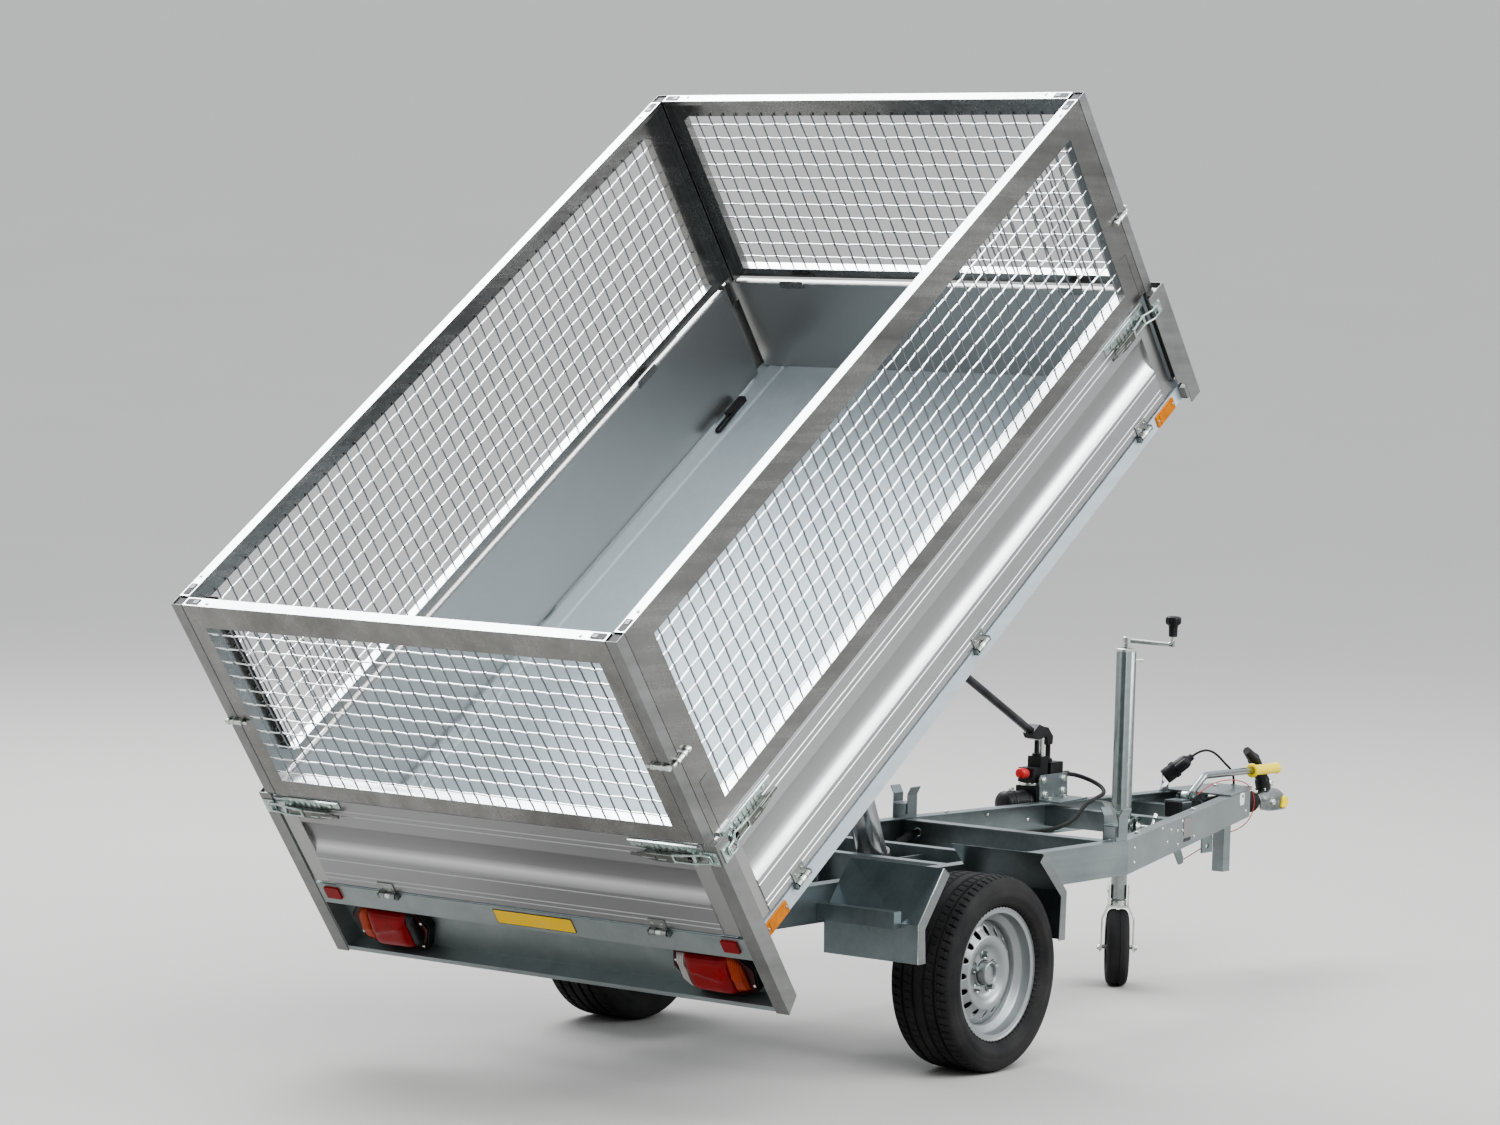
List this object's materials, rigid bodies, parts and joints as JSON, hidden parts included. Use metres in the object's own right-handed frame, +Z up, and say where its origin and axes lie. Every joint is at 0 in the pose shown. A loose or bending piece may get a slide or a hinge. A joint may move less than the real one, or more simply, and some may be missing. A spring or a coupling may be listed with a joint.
{
  "type": "utility trailer",
  "caption": "Single axle rear tipping trailer with aluminium dropside boards, a wire mesh extension, hand pump, jockey wheel and overrun coupling, with its bed raised",
  "frame": {"origin": "centre of the bounding box on the ground", "axes": "+X forward to the coupling, +Y to the left, +Z up"},
  "size_m": [4.317, 1.5, 2.6044],
  "materials": {
    "galvanised": "hot dip galvanised steel with a pale spangle",
    "sheet": "bright galvanised sheet",
    "board": "satin anodised aluminium profile",
    "zinc": "bright zinc plated steel",
    "tyre": "black tread rubber",
    "rim": "silver lacquered steel",
    "drum": "dark cast drum",
    "black_plastic": "black moulded plastic",
    "black_rubber": "black rubber",
    "black_steel": "black painted steel",
    "grey_steel": "dark grey painted steel",
    "yellow": "yellow plastic sleeve",
    "red": "red plastic",
    "amber": "amber plastic",
    "rod": "ground and plated rod"
  },
  "bodies": {
    "chassis": {"beam_left": "galvanised", "beam_right": "galvanised", "cross_members": "galvanised", "axle": "galvanised", "mudguards_left": "galvanised", "mudguards_right": "galvanised", "overrun_housing": "galvanised", "coupling_head": "zinc", "coupling_handle": "black_plastic", "bellows": "black_rubber", "handbrake_lever": "zinc", "handbrake_grip": "yellow", "jockey_outer": "zinc", "jockey_knob": "black_plastic", "pump_bracket": "sheet", "pump_body": "black_steel", "pump_valve": "red", "pump_lever": "grey_steel", "plug": "black_plastic", "plug_lead": "black_rubber", "breakaway_cable": "red", "pump_hose": "black_rubber"},
    "bed": {"bed_floor": "sheet", "bed_underframe": "galvanised", "light_carrier": "galvanised", "corner_posts": "galvanised", "headboard": "board", "mesh_frame_left": "galvanised", "mesh_frame_right": "galvanised", "mesh_frame_front": "galvanised", "mesh_frame_rear": "galvanised", "mesh_wires": "galvanised", "mesh_posts": "galvanised", "rim_caps": "black_plastic", "lamp_bases": "black_plastic", "lamp_lenses": "red", "reflectors_amber": "amber"},
    "board_left_body": {"board_left": "board", "latches_left": "zinc"},
    "board_right_body": {"board_right": "board", "latches_right": "zinc"},
    "tailgate_body": {"tailgate": "board", "latches_tailgate": "zinc"},
    "wheel_left": {"tyre_left": "tyre", "rim_left": "rim", "drum_left": "drum"},
    "wheel_right": {"tyre_right": "tyre", "rim_right": "rim", "drum_right": "drum"},
    "jockey_slide_body": {"jockey_leg": "zinc"},
    "jockey_swivel_body": {"jockey_fork": "zinc"},
    "jockey_wheel_body": {"jockey_tyre": "black_rubber", "jockey_hub": "black_plastic"},
    "ram": {"ram_barrel": "black_steel"},
    "ram_1": {"ram_stage_1": "rod"},
    "ram_2": {"ram_stage_2": "rod"},
    "ram_3": {"ram_stage_3": "rod"},
    "ram_4": {"ram_stage_4": "rod"}
  },
  "joints": [
    {"name": "bed_tip", "type": "hinge", "parent": "chassis", "child": "bed", "pos_m": [-1.36503, 0, 0.54], "axis": [0, -1, 0], "range_deg": [-35.8, 9.2]},
    {"name": "board_left_drop", "type": "hinge", "parent": "bed", "child": "board_left_body", "pos_m": [-0.67164, 0.736, 1.14366], "axis": [-0.8111, 0, -0.585], "range_deg": [0, 180]},
    {"name": "board_right_drop", "type": "hinge", "parent": "bed", "child": "board_right_body", "pos_m": [-0.67164, -0.736, 1.14366], "axis": [0.8111, 0, 0.585], "range_deg": [0, 180]},
    {"name": "tailgate_drop", "type": "hinge", "parent": "bed", "child": "tailgate_body", "pos_m": [-1.61896, 0, 0.46043], "axis": [0, -1, 0], "range_deg": [0, 180]},
    {"name": "wheel_left_spin", "type": "hinge", "parent": "chassis", "child": "wheel_left", "pos_m": [-0.44953, 0.597, 0.2625], "axis": [0, 1, 0], "continuous": true},
    {"name": "wheel_right_spin", "type": "hinge", "parent": "chassis", "child": "wheel_right", "pos_m": [-0.44953, -0.597, 0.2625], "axis": [0, 1, 0], "continuous": true},
    {"name": "jockey_lift", "type": "slide", "parent": "chassis", "child": "jockey_slide_body", "axis": [0, 0, 1], "range_m": [0, 0.13]},
    {"name": "jockey_swivel", "type": "hinge", "parent": "jockey_slide_body", "child": "jockey_swivel_body", "pos_m": [1.12047, -0.052, 0.24], "axis": [0, 0, 1], "continuous": true},
    {"name": "jockey_spin", "type": "hinge", "parent": "jockey_swivel_body", "child": "jockey_wheel_body", "pos_m": [1.12047, -0.052, 0.115], "axis": [-0.5736, 0.8192, 0], "continuous": true},
    {"name": "ram_swing", "type": "hinge", "parent": "chassis", "child": "ram", "pos_m": [-0.04953, 0, 0.4], "axis": [0, -1, 0], "range_deg": [-2.6, 9.3]},
    {"name": "ram_draw_1", "type": "slide", "parent": "ram", "child": "ram_1", "axis": [-0.4194, 0, 0.9078], "range_m": [-0.17696, 0.04585]},
    {"name": "ram_draw_2", "type": "slide", "parent": "ram_1", "child": "ram_2", "axis": [-0.4194, 0, 0.9078], "range_m": [-0.17696, 0.04585]},
    {"name": "ram_draw_3", "type": "slide", "parent": "ram_2", "child": "ram_3", "axis": [-0.4194, 0, 0.9078], "range_m": [-0.17696, 0.04585]},
    {"name": "ram_draw_4", "type": "slide", "parent": "ram_3", "child": "ram_4", "axis": [-0.4194, 0, 0.9078], "range_m": [-0.17696, 0.04585]}
  ],
  "couplings": [
    {"joint": "ram_swing", "follows": "bed_tip", "ratio": -0.25},
    {"joint": "ram_draw_1", "follows": "bed_tip", "m_per_rad": 0.28242},
    {"joint": "ram_draw_2", "follows": "bed_tip", "m_per_rad": 0.28242},
    {"joint": "ram_draw_3", "follows": "bed_tip", "m_per_rad": 0.28242},
    {"joint": "ram_draw_4", "follows": "bed_tip", "m_per_rad": 0.28242}
  ]
}
